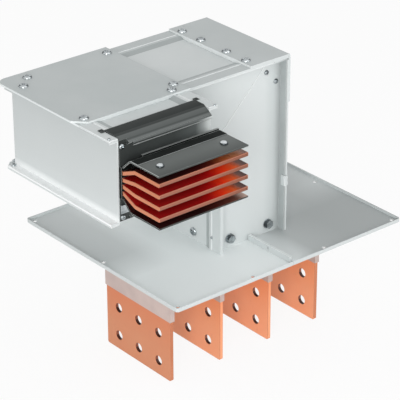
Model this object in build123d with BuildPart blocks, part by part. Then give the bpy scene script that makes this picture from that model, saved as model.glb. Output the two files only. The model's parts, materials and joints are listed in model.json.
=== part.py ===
"""Busway feed-in elbow: a flanged riser that turns flatwise into a short arm, then edgewise
to a joint end with fanned bars, with four terminal flags below the flange. Millimetres."""

import math
import os

from build123d import *

os.makedirs("parts", exist_ok=True)

# flange tray, in two halves that meet on a seam through the riser
flange_x = 454.0
flange_y = 378.0
tray_t = 2.0
rim_h = 6.0
rim_corner_r = 5.0
seam_gap = 0.6
seam_lip_h = 12.0
seam_end_gap = 3.0
seam_screw_inset = 56.0
hole_edge = 10.0
hole_mid_x = 72.5
flange_hole_d = 6.6
collar_h = 26.0
collar_tab = 28.0
collar_side = 12.0
collar_clear = 0.2

# duct section: formed cover sheets on flanged side walls, the walls clear of the bars' edges
duct_h = 134.0
bar_side_gap = 1.5
cover_t = 3.0
wall_t = 2.5
wall_inset = 13.0
joggle = 3.0
joggle_start = 60.0
joggle_end = 70.0
groove_at = 76.0
groove_w = 3.0
groove_depth = 1.2

# route of the duct
riser_rise = 294.0
elbow_dx = 229.0
mouth_dy = 167.0
seam_offset = 18.0
joint_gap = 0.4

# elbow cover and corner cover
cap_t = 3.0
cap_overhang = 4.0
cap_corner_r = 16.0
cap_chamfer = 18.0
corner_leg = 79.0
corner_bend_r = 3.5
corner_screw_in = 9.0
row_edge = 22.0
row_inner = 30.0
cap_screw_near = 16.0
cap_screw_far = 39.0
cap_screw_edge = 9.0
cap_screw_close = 7.0
cap_screw_diag = 22.0

# conductors
bar_count = 4
bar_w = 160.0
bar_t = 6.0
stack_pitch = 10.4
fan_pitch = 17.6
fan_root = 7.0
fan_kink = 33.0
fan_bend_r = 8.0
tip_reach = 87.0
bend_r = 14.0
butt_z = 74.0

# terminal flags
flag_pitch = 100.0
flag_drop = 198.0
flag_bend_r = 12.0
flag_run_outer = 22.0
flag_run_inner = 48.0
flag_hole_d = 16.0
flag_hole_pitch = 50.0
flag_hole_edge = 25.0
flag_corner_r = 3.0
sleeve_t = 1.5
sleeve_drop = 92.0
sleeve_start = 3.0

# joint end
rail_setback = 33.0
rail_rise = 1.5
rail_t = 7.0
rail_fold = 12.0
rail_lip = 4.5
rail_lip_drop = 10.0
rail_notch = 15.0
rail_notch_depth = 10.0
web_out = 1.5
bead_r = 4.4
bead_drop = 12.0
bead_inset = 22.0
ear_out = 7.0
ear_long = 9.0
holder_out = 5.0
holder_t = 14.0
holder_margin = 5.6
slot_clear = 0.2
guard_t = 2.5
guard_gap = 9.0
guard_kink = 23.0
guard_bend_r = 4.0
guard_rivet_x = 57.0
guard_rivet_in = 26.0
rivet_tail = 0.8
strip_w = 16.0
strip_t = 0.8
barrier_from = 44.0
barrier_past = 14.0
barrier_h = 10.0
barrier_t = 3.7
bracket_w = 22.0
bracket_h = 14.0
bracket_t = 2.0
mouth_bolt_in = 4.0
mouth_bolt_up = 54.5

# supports inside the duct
support_len = 30.0
riser_support_z = 30.0
arm_support_x = -100.0

# fasteners
wall_screw_far = 34.0
wall_screw_high = 22.5
wall_screw_near = 15.0
wall_screw_low = 41.5
pan_r = 7.0
pan_h = 3.6
pan_shank_r = 3.0
shank_clear = 0.1
small_r = 4.0
small_h = 2.4
small_shank_r = 2.0
tiny_r = 2.4
tiny_h = 1.4
tiny_shank_r = 1.2
bolt_af = 13.0
bolt_head_h = 5.3
bolt_r = 4.0
washer_r = 8.0
washer_t = 1.6
nut_h = 6.5
base_bolt_x = 38.5
base_bolt_z = 15.5
side_bolt_y = 29.0
side_bolt_z = 13.5
edge_screw_z = 22.0
clip_z = 78.0
clip_h = 17.0
clip_t = 1.0
clip_grip = 7.0

# derived levels
floor_z = tray_t
duct_w = bar_w + 2 * (bar_side_gap + wall_t + wall_inset)
arm_top = floor_z + riser_rise
arm_bot = arm_top - duct_h
arm_mid = arm_top - duct_h / 2
half_h = duct_h / 2
half_w = duct_w / 2
wall_out = half_w - wall_inset
wall_in = wall_out - wall_t
sheet_in = half_h - joggle - cover_t
rail_half = wall_in - slot_clear
elbow_x = -elbow_dx
mouth_y = -mouth_dy
stack_half = (bar_count - 1) / 2 * stack_pitch + bar_t / 2
tip_y = mouth_y - tip_reach
levels = [(bar_count - 1) / 2 - i for i in range(bar_count)]


def save(piece, name):
    piece.part.label = name
    export_step(piece.part, f"parts/{name}.step")


def plane_at(origin, across, along):
    return Plane(origin=origin, x_dir=across, z_dir=along)


def drill(planes, radius, depth):
    """Clearance holes for shanks, cut both ways from their planes."""
    with Locations(*planes):
        Cylinder(radius, 2 * depth, mode=Mode.SUBTRACT)


def facing(planes, x=0, y=0, z=0):
    return [p for p in planes if p.z_dir.X * x + p.z_dir.Y * y + p.z_dir.Z * z > 0.5]


def pan_screws(name, planes, radius, height, shank, length):
    with BuildPart() as screws:
        for plane in planes:
            with BuildSketch(plane):
                Circle(radius)
            extrude(amount=height, taper=28)
            with BuildSketch(plane):
                Circle(shank)
            extrude(amount=-length)
    save(screws, name)


# positions of the fasteners, each as a plane whose normal points out of the sheet
cap_z = arm_top + cap_t
far_in, near_in, edge_in = half_w - cap_screw_far, half_w - cap_screw_near, half_w - cap_screw_edge
cap_points = [
    (-far_in, near_in),
    (-near_in, far_in),
    (-near_in, -half_w + cap_screw_edge),
    (edge_in, near_in),
    (half_w - cap_screw_close, -half_w + cap_screw_diag),
    (half_w - cap_screw_diag, -half_w + cap_screw_close),
]
cap_planes = [Plane(origin=(elbow_x + x, y, cap_z)) for x, y in cap_points]
corner_row = [-half_w + row_edge, -row_inner, row_inner, half_w - row_edge]
corner_top_x = half_h + cap_t - corner_leg + corner_screw_in
corner_side_z = cap_z - corner_leg + corner_screw_in
corner_planes = [Plane(origin=(corner_top_x, y, cap_z)) for y in corner_row]
corner_planes += [
    plane_at((half_h + cap_t, y, corner_side_z), (0, 1, 0), (1, 0, 0)) for y in corner_row
]
base_planes = [
    plane_at((x, s * wall_out, floor_z + base_bolt_z), (1, 0, 0), (0, s, 0))
    for s in (-1, 1)
    for x in (-base_bolt_x, base_bolt_x)
]
sheet_face = half_h - joggle
side_planes = [
    plane_at((s * sheet_face, y, floor_z + side_bolt_z), (0, 1, 0), (s, 0, 0))
    for s in (-1, 1)
    for y in (-side_bolt_y, side_bolt_y)
]
wall_screw_planes = [
    plane_at((half_h - a, s * wall_out, arm_top - b), (1, 0, 0), (0, s, 0))
    for s in (-1, 1)
    for a, b in ((wall_screw_far, wall_screw_high), (wall_screw_near, wall_screw_low))
]
edge_planes = [
    plane_at((s * half_h, y, floor_z + edge_screw_z), (0, 1, 0), (s, 0, 0))
    for s in (-1, 1)
    for y in (-groove_at, groove_at)
]
lip_z = arm_bot + cover_t + wall_t
lip_mid = (half_w + wall_out) / 2
lip_planes = [
    Plane(origin=(elbow_x - lip_mid, wall_out - small_r - 1, lip_z)),
    Plane(origin=(elbow_x - wall_out + small_r + 1, lip_mid, lip_z)),
]
seam_planes = [
    plane_at((seam_gap / 2 + tray_t, s * (flange_y / 2 - seam_screw_inset), floor_z + 5.5),
             (0, 1, 0), (1, 0, 0))
    for s in (-1, 1)
]


def flange_half(side, name):
    """One half tray: floor, rim, seam lip and collar tabs that stand inside the riser."""
    span = flange_x / 2 - seam_gap / 2
    mid = side * (seam_gap / 2 + span / 2)
    with BuildPart() as half:
        with BuildSketch(Plane.XY):
            with Locations((mid, 0)):
                Rectangle(span, flange_y)
            outer = [v for v in vertices() if abs(v.X) > flange_x / 4]
            fillet(outer, radius=rim_corner_r)
        extrude(amount=rim_h)
        with BuildSketch(Plane.XY.offset(tray_t)):
            with Locations((mid - side * tray_t / 2, 0)):
                Rectangle(span - tray_t, flange_y - 2 * tray_t)
            outer = [v for v in vertices() if abs(v.X) > flange_x / 4]
            fillet(outer, radius=rim_corner_r - tray_t)
        extrude(amount=rim_h, mode=Mode.SUBTRACT)
        lip_len = flange_y / 2 - tray_t - seam_end_gap - wall_out - seam_end_gap
        lip_mid = wall_out + seam_end_gap + lip_len / 2
        lip_plane = plane_at((side * seam_gap / 2, 0, 0), (0, side, 0), (side, 0, 0))
        with BuildSketch(lip_plane):
            with Locations((lip_mid, seam_lip_h / 2), (-lip_mid, seam_lip_h / 2)):
                Rectangle(lip_len, seam_lip_h)
            tops = [v for v in vertices() if v.Z > seam_lip_h / 2]
            fillet(tops, radius=4)
        extrude(amount=tray_t)
        with BuildSketch(Plane.XY.offset(-1)):
            Rectangle(2 * sheet_in, 2 * wall_in)
        extrude(amount=rim_h + seam_lip_h, mode=Mode.SUBTRACT)
        # tabs bent up along the cut-out, foot first, then the upstand clear of the duct
        side_tab = 2 * (side_bolt_y + collar_side)
        foot = collar_clear + tray_t
        for depth, height in ((foot, tray_t), (tray_t, collar_h)):
            tab_x = sheet_in - foot + depth / 2
            tab_y = wall_in - foot + depth / 2
            with BuildSketch(Plane.XY):
                with Locations((side * tab_x, 0)):
                    Rectangle(depth, side_tab)
                with Locations((side * base_bolt_x, tab_y), (side * base_bolt_x, -tab_y)):
                    Rectangle(collar_tab, depth)
            extrude(amount=height)
        edge_x = side * (flange_x / 2 - hole_edge)
        edge_y = flange_y / 2 - hole_edge
        with BuildSketch(Plane.XY):
            with Locations((edge_x, edge_y), (edge_x, 0), (edge_x, -edge_y),
                           (side * hole_mid_x, edge_y), (side * hole_mid_x, -edge_y)):
                Circle(flange_hole_d / 2)
        extrude(amount=tray_t, mode=Mode.SUBTRACT)
        drill(base_planes, bolt_r + shank_clear, wall_t + 2 * tray_t)
        drill(side_planes, pan_shank_r + shank_clear, cover_t + 2 * tray_t)
        drill(seam_planes, small_shank_r + shank_clear, 3 * tray_t)
    save(half, name)


flange_half(-1, "flange_half_left")
flange_half(1, "flange_half_right")


# outline of the formed sheet across the duct, joggled in along its middle; y is outward
outer_half = [
    (joggle_start, -joggle),
    (joggle_end, 0),
    (groove_at - groove_w / 2, 0),
    (groove_at - groove_w / 4, -groove_depth),
    (groove_at + groove_w / 4, -groove_depth),
    (groove_at + groove_w / 2, 0),
    (half_w, 0),
]
inner_half = [(half_w, -cover_t), (joggle_end + 1.2, -cover_t), (joggle_start + 1.2, -joggle - cover_t)]
right_half = outer_half + inner_half
cover_outline = right_half + [(-x, y) for x, y in reversed(right_half)]


# riser side sheets
with BuildPart() as riser_sheet_outer:
    with BuildSketch(plane_at((half_h, 0, floor_z), (0, -1, 0), (0, 0, 1))):
        with BuildLine():
            Polyline(cover_outline, close=True)
        make_face()
    extrude(amount=riser_rise - cover_t - joggle)
    drill(facing(corner_planes + side_planes, x=1), pan_shank_r + shank_clear, 2 * cover_t + cap_t)
    drill(facing(edge_planes, x=1), tiny_shank_r + shank_clear, 2 * cover_t)
save(riser_sheet_outer, "riser_sheet_outer")

inner_corner = Plane(origin=(-half_h, 0, arm_bot), z_dir=(1, 0, -1))
with BuildPart() as riser_sheet_inner:
    with BuildSketch(plane_at((-half_h, 0, floor_z), (0, 1, 0), (0, 0, 1))):
        with BuildLine():
            Polyline(cover_outline, close=True)
        make_face()
    extrude(amount=arm_bot + joggle + cover_t - floor_z)
    split(bisect_by=inner_corner.offset(joint_gap / 2), keep=Keep.TOP)
    drill(facing(side_planes, x=-1), pan_shank_r + shank_clear, 2 * cover_t)
    drill(facing(edge_planes, x=-1), tiny_shank_r + shank_clear, 2 * cover_t)
save(riser_sheet_inner, "riser_sheet_inner")

# arm cover sheets, from the elbow to the riser
arm_start = elbow_x + half_w
with BuildPart() as arm_sheet_top:
    with BuildSketch(plane_at((arm_start + joint_gap, 0, arm_top), (0, 1, 0), (1, 0, 0))):
        with BuildLine():
            Polyline(cover_outline, close=True)
        make_face()
    extrude(amount=half_h - arm_start - 3 * joint_gap)
    drill(facing(corner_planes, z=1), pan_shank_r + shank_clear, 2 * cover_t + cap_t)
save(arm_sheet_top, "arm_sheet_top")

with BuildPart() as arm_sheet_bottom:
    with BuildSketch(plane_at((arm_start + joint_gap, 0, arm_bot), (0, -1, 0), (1, 0, 0))):
        with BuildLine():
            Polyline(cover_outline, close=True)
        make_face()
    extrude(amount=-sheet_in - arm_start - joint_gap)
    split(bisect_by=inner_corner.offset(-joint_gap / 2), keep=Keep.BOTTOM)
save(arm_sheet_bottom, "arm_sheet_bottom")

# joint arm cover sheets, from the elbow to the mouth, cut back in the middle for the end rails
joint_start = -half_w - joint_gap


def joint_sheet(level, across, name):
    outward = 1 if level > arm_mid else -1
    with BuildPart() as sheet:
        with BuildSketch(plane_at((elbow_x, joint_start, level), across, (0, -1, 0))):
            with BuildLine():
                Polyline(cover_outline, close=True)
            make_face()
        extrude(amount=mouth_dy + joint_start)
        with BuildSketch(Plane.XY.offset(level - outward * (cover_t + joggle + 1))):
            with Locations((elbow_x, mouth_y + rail_setback / 2 - 1)):
                Rectangle(2 * (rail_half + joint_gap), rail_setback + 2)
        extrude(amount=outward * (cover_t + joggle + 2), mode=Mode.SUBTRACT)
    save(sheet, name)


joint_sheet(arm_top, (1, 0, 0), "joint_sheet_top")
joint_sheet(arm_bot, (-1, 0, 0), "joint_sheet_bottom")


def elbow_plate(level, name, planes, radius):
    """Flat sheet over the edgewise elbow, flush with the cover sheets beside it."""
    with BuildPart() as plate:
        with BuildSketch(Plane.XY.offset(level)):
            with Locations((elbow_x, 0)):
                Rectangle(duct_w, duct_w)
            corner = [v for v in vertices() if v.X < elbow_x and v.Y > 0]
            chamfer(corner, length=cap_corner_r - cap_overhang)
        extrude(amount=cover_t)
        drill(planes, radius + shank_clear, cap_t + 2 * cover_t)
    save(plate, name)


elbow_plate(arm_top - cover_t, "elbow_plate_top", cap_planes, pan_shank_r)
elbow_plate(arm_bot, "elbow_plate_bottom", lip_planes, small_shank_r)

# overhanging cap on the elbow
with BuildPart() as elbow_cap:
    with BuildSketch(Plane.XY.offset(arm_top)):
        with Locations((elbow_x, 0)):
            Rectangle(duct_w + 2 * cap_overhang, duct_w + 2 * cap_overhang)
        back = [v for v in vertices() if v.X < elbow_x and v.Y > 0]
        fillet(back, radius=cap_corner_r)
        front = [v for v in vertices() if v.X < elbow_x and v.Y < 0]
        chamfer(front, length=cap_chamfer)
    extrude(amount=cap_t)
    drill(cap_planes, pan_shank_r + shank_clear, cap_t)
save(elbow_cap, "elbow_cap")
pan_screws("elbow_cap_screws", cap_planes, pan_r, pan_h, pan_shank_r, cap_t + cover_t)

# bent cover over the outer corner of the flatwise elbow
with BuildPart() as corner_cap:
    with BuildSketch(Plane.XZ.offset(-half_w)):
        with BuildLine():
            FilletPolyline(
                (half_h + cap_t - corner_leg, cap_z - cap_t / 2),
                (half_h + cap_t / 2, cap_z - cap_t / 2),
                (half_h + cap_t / 2, cap_z - corner_leg),
                radius=corner_bend_r - cap_t / 2,
            )
        trace(line_width=cap_t)
    extrude(amount=duct_w)
    drill(corner_planes, pan_shank_r + shank_clear, cap_t)
save(corner_cap, "corner_cap")
pan_screws("corner_cap_screws", corner_planes, pan_r, pan_h, pan_shank_r, cap_t + cover_t)

# flanged side walls of the riser and arm; the riser wall laps past the mitre
seam_dir = (math.sqrt(0.5), 0, -math.sqrt(0.5))
seam_point = half_h - seam_offset * math.sqrt(2)
zig = cover_t + wall_t


def side_wall(sign, start, keep, name):
    edge = half_h - cover_t
    slim = half_h - zig
    top = arm_top - cover_t
    low = arm_bot + cover_t
    outline = [(start, low), (-edge, low), (-edge, floor_z), (edge, floor_z), (edge, top), (start, top)]
    hollow = [
        (start - 1, low + wall_t),
        (-slim, low + wall_t),
        (-slim, floor_z - 1),
        (slim, floor_z - 1),
        (slim, top - wall_t),
        (start - 1, top - wall_t),
    ]
    face = plane_at((0, sign * wall_out, 0), (-sign, 0, 0), (0, sign, 0))
    with BuildPart() as wall:
        with BuildSketch(face):
            with BuildLine():
                Polyline([(-sign * x, z) for x, z in outline], close=True)
            make_face()
        extrude(amount=-wall_t)
        with BuildSketch(face):
            with BuildLine():
                Polyline([(-sign * x, z) for x, z in outline], close=True)
            make_face()
            with BuildLine():
                Polyline([(-sign * x, z) for x, z in hollow], close=True)
            make_face(mode=Mode.SUBTRACT)
        extrude(amount=wall_inset)
        offset_by = joint_gap / 2 if keep == Keep.TOP else -joint_gap / 2
        cut = Plane(origin=(seam_point + offset_by * math.sqrt(2), 0, arm_top), z_dir=seam_dir)
        split(bisect_by=cut, keep=keep)
        if keep == Keep.TOP:
            drill(facing(base_planes, y=sign), bolt_r + shank_clear, 2 * wall_t)
            drill(facing(wall_screw_planes, y=sign), small_shank_r + shank_clear, 2 * wall_t)
        elif sign > 0:
            drill(lip_planes[1:], small_shank_r + shank_clear, wall_t + cover_t)
    save(wall, name)


joint_wall_x = elbow_x + wall_out
side_wall(-1, joint_wall_x, Keep.TOP, "riser_wall_front")
side_wall(1, elbow_x - wall_in, Keep.TOP, "riser_wall_back")
side_wall(-1, joint_wall_x, Keep.BOTTOM, "arm_wall_front")
side_wall(1, elbow_x - wall_in, Keep.BOTTOM, "arm_wall_back")


def joint_wall(sign, y_end, flange_end, name):
    """Side wall of the joint arm, its flanges turned out against the cover sheets."""
    top = arm_top - cover_t
    low = arm_bot + cover_t
    with BuildPart() as wall:
        with BuildSketch(Plane.XY.offset(low)):
            with Locations((elbow_x + sign * (wall_out - wall_t / 2), (mouth_y + y_end) / 2)):
                Rectangle(wall_t, y_end - mouth_y)
        extrude(amount=top - low)
        for level in (low, top - wall_t):
            with BuildSketch(Plane.XY.offset(level)):
                with Locations((elbow_x + sign * (wall_out + half_w) / 2, (mouth_y + flange_end) / 2)):
                    Rectangle(half_w - wall_out, flange_end - mouth_y)
            extrude(amount=wall_t)
        if sign < 0:
            drill(lip_planes[:1], small_shank_r + shank_clear, wall_t + cover_t)
    save(wall, name)


joint_wall(-1, wall_out, wall_out, "joint_wall_left")
joint_wall(1, -wall_out - joint_gap, -half_w - joint_gap, "joint_wall_right")

pan_screws("wall_screws", wall_screw_planes, small_r, small_h, small_shank_r, wall_t)
pan_screws("side_bolts", side_planes, pan_r, pan_h, pan_shank_r, cover_t + tray_t)
pan_screws("edge_screws", edge_planes, tiny_r, tiny_h, tiny_shank_r, cover_t)
pan_screws("lip_bolts", lip_planes, small_r, small_h, small_shank_r, wall_t + cover_t)
pan_screws("seam_screws", seam_planes, small_r, small_h, small_shank_r, 2 * tray_t + seam_gap)

# base bolts with washers outside and nuts inside the riser
with BuildPart() as base_bolts:
    for plane in base_planes:
        head = plane.offset(washer_t)
        with BuildSketch(head):
            RegularPolygon(radius=bolt_af / 2, side_count=6, major_radius=False)
        extrude(amount=bolt_head_h)
        with BuildSketch(head):
            Circle(bolt_r)
        extrude(amount=-(washer_t + wall_t + collar_clear + tray_t + nut_h))
save(base_bolts, "base_bolts")

with BuildPart() as base_washers:
    for plane in base_planes:
        with BuildSketch(plane):
            Circle(washer_r)
            Circle(bolt_r + shank_clear, mode=Mode.SUBTRACT)
        extrude(amount=washer_t)
save(base_washers, "base_washers")

with BuildPart() as base_nuts:
    for plane in base_planes:
        seat = plane.offset(-(wall_t + collar_clear + tray_t))
        with BuildSketch(seat):
            RegularPolygon(radius=bolt_af / 2, side_count=6, major_radius=False)
            Circle(bolt_r + shank_clear, mode=Mode.SUBTRACT)
        extrude(amount=-nut_h)
save(base_nuts, "base_nuts")

# conductors: edgewise mitre in the elbow, flatwise bend over the riser, butt weld above the flags
mitre_plane = Plane(origin=(elbow_x, 0, 0), z_dir=(math.sqrt(0.5), math.sqrt(0.5), 0))


def conductor(i, name):
    z = arm_mid + levels[i] * stack_pitch
    x = levels[i] * stack_pitch
    radius = bend_r + stack_half + levels[i] * stack_pitch
    with BuildPart() as bar:
        with BuildSketch(Plane.XZ.offset(-bar_w / 2)):
            with BuildLine():
                FilletPolyline(
                    (elbow_x - bar_w / 2, z),
                    (x, z),
                    (x, butt_z),
                    radius=radius,
                )
            trace(line_width=bar_t)
        extrude(amount=bar_w)
        split(bisect_by=mitre_plane, keep=Keep.TOP)
    save(bar, name)


def joint_bar(i, name):
    """Leg from the mitre to the mouth, ending in the fanned tip."""
    z = arm_mid + levels[i] * stack_pitch
    tip = arm_mid + levels[i] * fan_pitch
    side = plane_at((elbow_x - bar_w / 2, 0, 0), (0, 1, 0), (1, 0, 0))
    with BuildPart() as bar:
        with BuildSketch(side):
            with BuildLine():
                FilletPolyline(
                    (bar_w / 2, z),
                    (mouth_y - fan_root, z),
                    (mouth_y - fan_kink, tip),
                    (tip_y, tip),
                    radius=fan_bend_r,
                )
            trace(line_width=bar_t)
        extrude(amount=bar_w)
        split(bisect_by=mitre_plane, keep=Keep.BOTTOM)
    save(bar, name)


for i in range(bar_count):
    conductor(i, f"conductor_{i + 1}")
    joint_bar(i, f"joint_bar_{i + 1}")


# terminal flags and their insulating sleeves
def flag_points(i):
    x = -levels[i] * stack_pitch
    far = -levels[i] * flag_pitch
    run = flag_run_outer if abs(levels[i]) > 1 else flag_run_inner
    return x, far, -run


def flag(i, name):
    x, far, run = flag_points(i)
    with BuildPart() as bar:
        with BuildSketch(Plane.XZ.offset(-bar_w / 2)):
            with BuildLine():
                FilletPolyline((x, butt_z), (x, run), (far, run), (far, -flag_drop), radius=flag_bend_r)
            trace(line_width=bar_t)
        extrude(amount=bar_w)
        row = -flag_drop + flag_hole_edge
        with BuildSketch(plane_at((far, 0, row + flag_hole_pitch / 2), (0, 1, 0), (1, 0, 0))):
            with GridLocations(flag_hole_pitch, flag_hole_pitch, 3, 2):
                Circle(flag_hole_d / 2)
        extrude(amount=bar_t, both=True, mode=Mode.SUBTRACT)
        foot = [e for e in bar.edges().filter_by(Axis.X) if e.center().Z < -flag_drop + 0.1]
        fillet(foot, radius=flag_corner_r)
    save(bar, name)


def sleeve(i, name):
    x, far, run = flag_points(i)
    way = 1 if far > x else -1
    start = x + way * (flag_bend_r + sleeve_start)
    path = [(start, run), (far, run), (far, -sleeve_drop)]
    with BuildPart() as cover:
        with BuildSketch(Plane.XZ.offset(-bar_w / 2 - sleeve_t)):
            with BuildLine():
                FilletPolyline(*path, radius=flag_bend_r)
            trace(line_width=bar_t + 2 * sleeve_t)
        extrude(amount=bar_w + 2 * sleeve_t)
        with BuildSketch(Plane.XZ.offset(-bar_w / 2)):
            with BuildLine():
                FilletPolyline(*path, radius=flag_bend_r)
            trace(line_width=bar_t)
        extrude(amount=bar_w, mode=Mode.SUBTRACT)
    save(cover, name)


for i in range(bar_count):
    flag(i, f"flag_{i + 1}")
    sleeve(i, f"sleeve_{i + 1}")


# end rails at the mouth, a top one and its mirror image below
holder_half = stack_half + holder_margin
web_low = holder_half + slot_clear
web_y = mouth_y - web_out
mouth_bolt_planes = [
    plane_at((elbow_x - rail_half + mouth_bolt_in, web_y, arm_mid + s * mouth_bolt_up), (1, 0, 0), (0, -1, 0))
    for s in (-1, 1)
]


def end_rail(sign, name):
    """Extruded rail: raised top, sloping lip to a rolled bead and a web down to the bar holder."""
    face = plane_at((elbow_x - rail_half, 0, arm_mid), (0, 1, 0), (1, 0, 0))
    top = half_h + rail_rise
    back = mouth_y + rail_setback - joint_gap
    lip_y = mouth_y - rail_lip
    outline = [
        (back, top),
        (mouth_y + rail_fold, top),
        (lip_y, top - rail_lip_drop),
        (web_y, half_h - bead_drop),
        (web_y, web_low),
        (web_y + rail_t, web_low),
        (web_y + rail_t, half_h - rail_t),
        (back, half_h - rail_t),
    ]
    bead = plane_at((elbow_x - rail_half + bead_inset, 0, arm_mid), (0, 1, 0), (1, 0, 0))
    with BuildPart() as rail:
        with BuildSketch(face):
            with BuildLine():
                Polyline([(y, sign * z) for y, z in outline], close=True)
            make_face()
        extrude(amount=2 * rail_half)
        with BuildSketch(bead):
            with Locations((web_y, sign * (half_h - bead_drop))):
                Circle(bead_r)
        extrude(amount=2 * rail_half - bead_inset)
        # the lip is cut back at the left end, over the bolt
        notch_y = mouth_y + rail_fold - rail_notch_depth
        with BuildSketch(face):
            with Locations((notch_y - half_h / 2, sign * (half_h - bead_drop + half_h / 2))):
                Rectangle(half_h, half_h)
        extrude(amount=rail_notch, mode=Mode.SUBTRACT)
        # ears that lie on the cover sheet's edges at the back of the rail
        with BuildSketch(Plane.XY.offset(arm_mid + sign * half_h)):
            for side in (-1, 1):
                with Locations((elbow_x + side * (rail_half + ear_out / 2), back + ear_long / 2 - 4)):
                    Rectangle(ear_out, ear_long)
                with Locations((elbow_x + side * (rail_half - ear_out / 2), back - 2)):
                    Rectangle(ear_out, 4)
        extrude(amount=sign * rail_rise)
        drill(mouth_bolt_planes, small_shank_r + shank_clear, rail_t + 1)
    save(rail, name)


end_rail(1, "end_rail_top")
end_rail(-1, "end_rail_bottom")
pan_screws("mouth_bolts", mouth_bolt_planes, small_r, small_h, small_shank_r, rail_t)

# slotted holder that carries the bars across the mouth
holder_y = mouth_y - holder_out + holder_t
with BuildPart() as bar_holder:
    with BuildSketch(plane_at((elbow_x, holder_y, arm_mid), (1, 0, 0), (0, -1, 0))):
        Rectangle(2 * rail_half, 2 * holder_half)
        with Locations(*[(0, level * stack_pitch) for level in levels]):
            Rectangle(bar_w + 2 * slot_clear, bar_t + 2 * slot_clear, mode=Mode.SUBTRACT)
    extrude(amount=holder_t)
save(bar_holder, "bar_holder")

# insulating strips on the webs, past the right-hand wall's edge
barrier_w = barrier_from + rail_half + barrier_past
with BuildPart() as joint_barriers:
    with BuildSketch(plane_at((elbow_x, web_y, arm_mid), (1, 0, 0), (0, -1, 0))):
        for side in (-1, 1):
            with Locations((barrier_w / 2 - barrier_from, side * (web_low + barrier_h / 2))):
                Rectangle(barrier_w, barrier_h)
    extrude(amount=barrier_t)
save(joint_barriers, "joint_barriers")

# plated angle brackets that tie the lower web to the side walls
with BuildPart() as mouth_brackets:
    with BuildSketch(plane_at((elbow_x, web_y, arm_mid), (1, 0, 0), (0, -1, 0))):
        for side in (-1, 1):
            with Locations((side * (rail_half - bracket_w / 2), -web_low - barrier_h - bracket_h / 2 - slot_clear)):
                Rectangle(bracket_w, bracket_h)
    extrude(amount=bracket_t)
save(mouth_brackets, "mouth_brackets")

# guard plates over and under the fan
tip_half = (bar_count - 1) / 2 * fan_pitch + bar_t / 2
guard_level = tip_half + guard_gap + guard_t / 2
guard_y = mouth_y - holder_out - guard_t / 2
rivet_planes = [
    Plane(origin=(elbow_x + x, tip_y + guard_rivet_in, arm_mid + s * (guard_level + guard_t / 2)), z_dir=(0, 0, s))
    for s in (-1, 1)
    for x in (-guard_rivet_x, guard_rivet_x)
]


def guard(sign, name):
    face = plane_at((elbow_x - bar_w / 2, 0, arm_mid), (0, 1, 0), (1, 0, 0))
    points = [(guard_y, holder_half), (mouth_y - guard_kink, guard_level), (tip_y, guard_level)]
    with BuildPart() as plate:
        with BuildSketch(face):
            with BuildLine():
                FilletPolyline([(y, sign * z) for y, z in points], radius=guard_bend_r)
            trace(line_width=guard_t)
        extrude(amount=bar_w)
        drill(facing(rivet_planes, z=sign), small_shank_r + shank_clear, 2 * guard_t)
    save(plate, name)


guard(1, "guard_plate_top")
guard(-1, "guard_plate_bottom")

# insulating strips stuck along the guard plates' bends
with BuildPart() as guard_strips:
    for s in (-1, 1):
        with BuildSketch(Plane.XY.offset(arm_mid + s * (guard_level + guard_t / 2))):
            with Locations((elbow_x, mouth_y - guard_kink - guard_bend_r / 2 - strip_w / 2)):
                Rectangle(bar_w, strip_w)
        extrude(amount=s * strip_t)
save(guard_strips, "guard_strips")
pan_screws("guard_rivets", rivet_planes, pan_r - 1, pan_h - 1, small_shank_r, guard_t + rivet_tail)

# clips that hold the riser's outer sheet to the walls' flanges
with BuildPart() as lip_clips:
    with BuildSketch(Plane.XY.offset(floor_z + clip_z)):
        for side in (-1, 1):
            grip_mid = side * (half_w + (clip_t - clip_grip) / 2)
            with Locations((half_h - zig / 2, grip_mid)):
                Rectangle(zig + 2 * (clip_t + shank_clear), clip_grip + clip_t)
            with Locations((half_h - zig / 2, grip_mid - side * (clip_t / 2 + shank_clear))):
                Rectangle(zig + 2 * shank_clear, clip_grip + 2 * clip_t, mode=Mode.SUBTRACT)
    extrude(amount=clip_h)
save(lip_clips, "lip_clips")

# supports that centre the stack inside the duct
gap_t = stack_pitch - bar_t
with BuildPart() as riser_supports:
    with BuildSketch(Plane.XY.offset(floor_z + riser_support_z)):
        for side in (-1, 1):
            with Locations((side * (stack_half + sheet_in) / 2, 0)):
                Rectangle(sheet_in - stack_half, bar_w)
        for k in range(bar_count - 1):
            with Locations(((k - (bar_count - 2) / 2) * stack_pitch, 0)):
                Rectangle(gap_t, bar_w)
    extrude(amount=support_len)
save(riser_supports, "riser_supports")

with BuildPart() as arm_supports:
    with BuildSketch(plane_at((arm_support_x, 0, arm_mid), (0, 1, 0), (1, 0, 0))):
        for side in (-1, 1):
            with Locations((0, side * (stack_half + sheet_in) / 2)):
                Rectangle(bar_w, sheet_in - stack_half)
        for k in range(bar_count - 1):
            with Locations((0, (k - (bar_count - 2) / 2) * stack_pitch)):
                Rectangle(bar_w, gap_t)
    extrude(amount=support_len)
save(arm_supports, "arm_supports")
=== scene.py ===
import json
import math
import bpy
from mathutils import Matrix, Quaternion, Vector


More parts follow.
